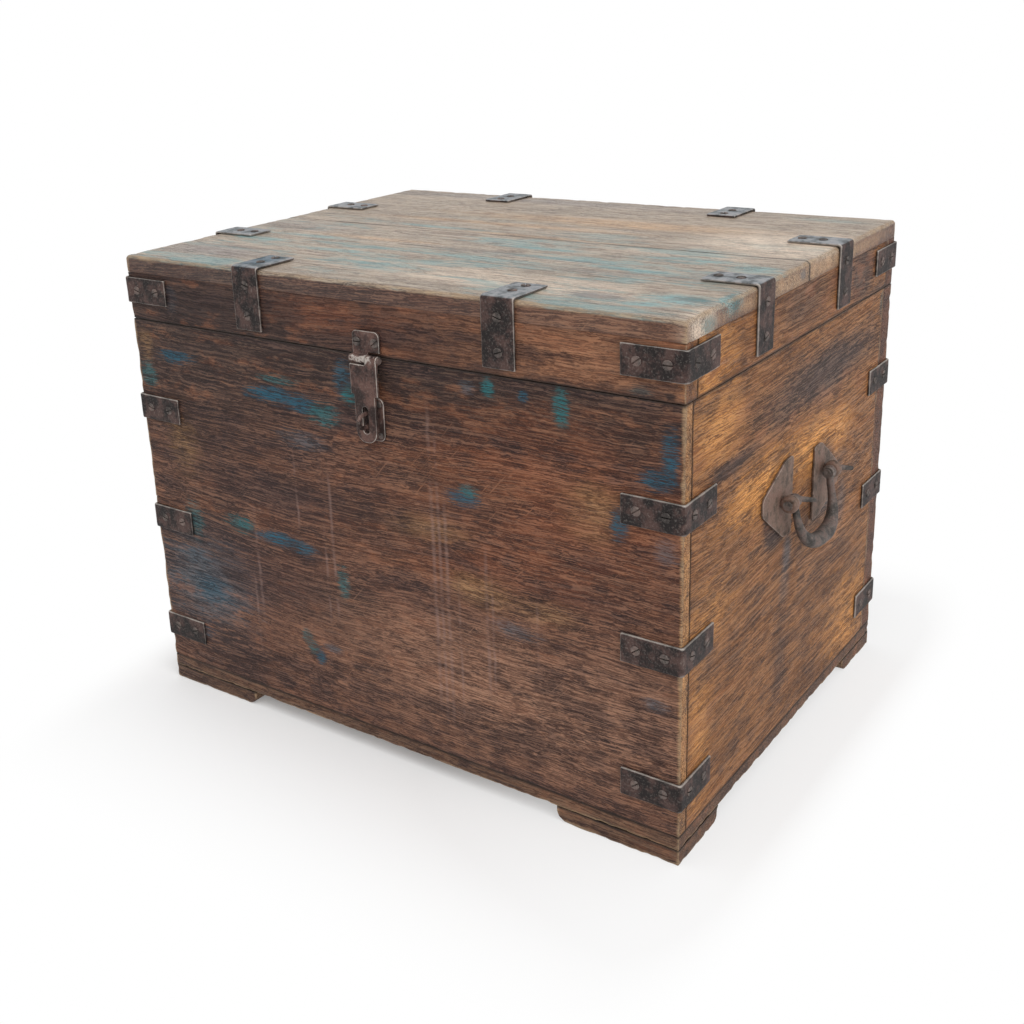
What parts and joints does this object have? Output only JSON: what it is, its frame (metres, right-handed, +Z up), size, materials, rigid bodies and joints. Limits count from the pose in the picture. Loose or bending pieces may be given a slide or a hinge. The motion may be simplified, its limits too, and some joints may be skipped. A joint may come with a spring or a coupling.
{
  "type": "damchiya chest",
  "caption": "Low hardwood chest with a hinged flush lid, iron corner and edge straps, hasp and staple in front, and a drop handle on each end.",
  "frame": {"origin": "on the floor, under the middle of the wooden carcass", "axes": "+X to the chest's right end as seen from the hasp, +Y to the back, where the lid's hinges are, +Z up"},
  "size_m": [0.6636, 0.4914, 0.4732],
  "materials": {
    "front_wood": "dark red-brown oiled hardwood with worn varnish, saw marks and blue-green paint remnants",
    "end_wood": "golden to orange-brown hardwood, coarse mottled grain, dull",
    "base_wood": "dark brown hardwood, dull and scuffed",
    "lid_wood": "bleached grey-tan hardwood, satin, worn arrises",
    "rail_wood": "dark red-brown hardwood with worn varnish",
    "strap_iron": "dark grey-brown wrought iron with light worn edges",
    "screw_iron": "grey-brown iron, rubbed brighter on the heads",
    "hasp_iron": "rusty purple-brown iron, bright on the knuckles",
    "handle_iron": "dark grey forged iron, rubbed lighter on the grip"
  },
  "bodies": {
    "chest": {"front_upper_board": "front_wood", "front_lower_board": "front_wood", "back_board": "front_wood", "left_end_board": "end_wood", "right_end_board": "end_wood", "bottom_board": "base_wood", "foot_front_left": "base_wood", "foot_front_right": "base_wood", "foot_back_left": "base_wood", "foot_back_right": "base_wood", "corner_straps_front_left": "strap_iron", "corner_straps_front_right": "strap_iron", "corner_straps_back_left": "strap_iron", "corner_straps_back_right": "strap_iron", "hinge_lower_leaf_left": "strap_iron", "hinge_lower_leaf_right": "strap_iron", "corner_strap_screws": "screw_iron", "hinge_lower_leaf_screws": "screw_iron", "staple_plate_nails": "screw_iron", "hinge_pin_left": "screw_iron", "hinge_pin_right": "screw_iron", "staple": "hasp_iron", "staple_plate": "hasp_iron", "handle_plate_right_front": "handle_iron", "handle_plate_right_back": "handle_iron", "handle_plate_left_front": "handle_iron", "handle_plate_left_back": "handle_iron", "handle_eye_right_front": "handle_iron", "handle_eye_right_back": "handle_iron", "handle_eye_left_front": "handle_iron", "handle_eye_left_back": "handle_iron", "handle_pins_right": "handle_iron", "handle_pins_left": "handle_iron"},
    "lid": {"lid_front_board": "lid_wood", "lid_back_board": "lid_wood", "lid_front_rail": "rail_wood", "lid_back_rail": "rail_wood", "lid_left_rail": "rail_wood", "lid_right_rail": "rail_wood", "lid_corner_strap_front_left": "strap_iron", "lid_corner_strap_front_right": "strap_iron", "lid_corner_strap_back_left": "strap_iron", "lid_corner_strap_back_right": "strap_iron", "lid_corner_strap_screws": "screw_iron", "lid_edge_strap_front_left": "strap_iron", "lid_edge_strap_front_right": "strap_iron", "lid_edge_strap_right_front": "strap_iron", "lid_edge_strap_right_back": "strap_iron", "lid_edge_strap_left_front": "strap_iron", "lid_edge_strap_left_back": "strap_iron", "lid_edge_strap_screws": "screw_iron", "hinge_upper_strap_left": "strap_iron", "hinge_upper_strap_right": "strap_iron", "hinge_upper_strap_screws": "screw_iron", "hasp_leaf": "hasp_iron", "hasp_leaf_screws": "screw_iron", "hasp_pin": "screw_iron"},
    "hasp": {"hasp_strap": "hasp_iron"},
    "bail_right": {"bail_right": "handle_iron"},
    "bail_left": {"bail_left": "handle_iron"}
  },
  "joints": [
    {"name": "lid_hinge", "type": "hinge", "parent": "chest", "child": "lid", "pos_m": [0, 0.2359, 0.40585], "axis": [-1, 0, 0], "range_deg": [0, 180]},
    {"name": "hasp_hinge", "type": "hinge", "parent": "lid", "child": "hasp", "pos_m": [0.001, -0.2345, 0.4034], "axis": [-1, 0, 0], "range_deg": [0, 150]},
    {"name": "right_bail_swing", "type": "hinge", "parent": "chest", "child": "bail_right", "pos_m": [0.3155, 0.008, 0.264], "axis": [0, -1, 0], "range_deg": [-10, 170]},
    {"name": "left_bail_swing", "type": "hinge", "parent": "chest", "child": "bail_left", "pos_m": [-0.3155, 0.008, 0.264], "axis": [0, 1, 0], "range_deg": [-10, 170]}
  ]
}
